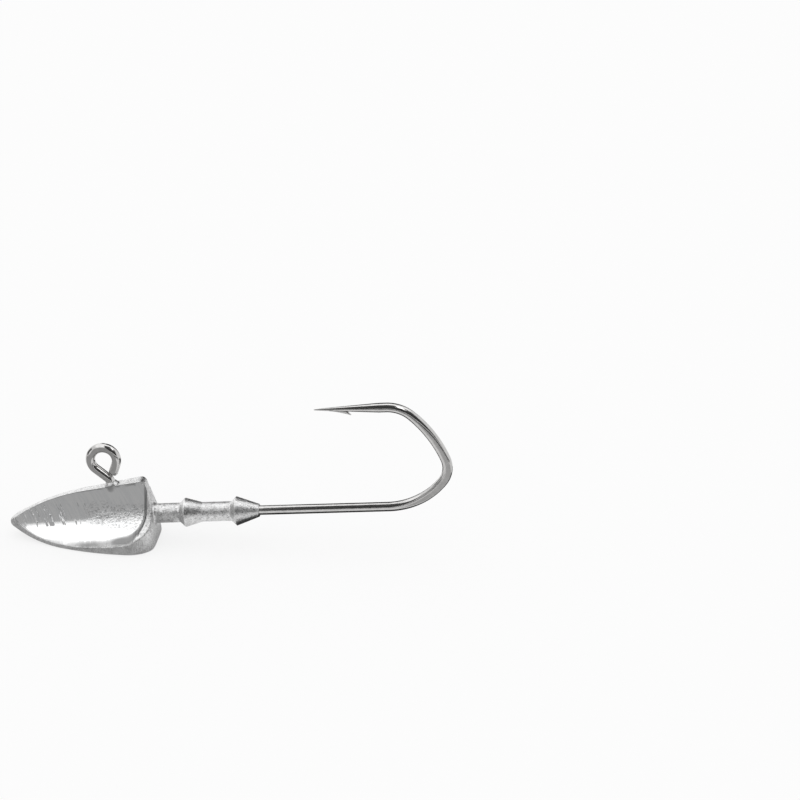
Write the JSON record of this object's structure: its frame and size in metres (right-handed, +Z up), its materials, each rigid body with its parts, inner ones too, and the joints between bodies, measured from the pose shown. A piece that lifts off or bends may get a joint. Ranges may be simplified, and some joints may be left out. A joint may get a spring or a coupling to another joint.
{
  "type": "jig head",
  "caption": "Weighted fishing jig head: a boat-shaped casting with hollow sides, flat base and barbed bait keeper around a bent single hook with a line eye.",
  "frame": {"origin": "in the flat base on which the head stands, under the middle of the head's length", "axes": "+X aft, from the nose towards the hook's bend; +Z up, from the base towards the line eye; Y across. The hook's shank climbs 4.5 degrees towards +X."},
  "size_m": [0.068, 0.0116, 0.0244],
  "materials": {
    "casting": "polished",
    "hook_wire": "gloss"
  },
  "bodies": {
    "root": {"cast_head": "casting", "hook": "hook_wire"}
  },
  "joints": []
}
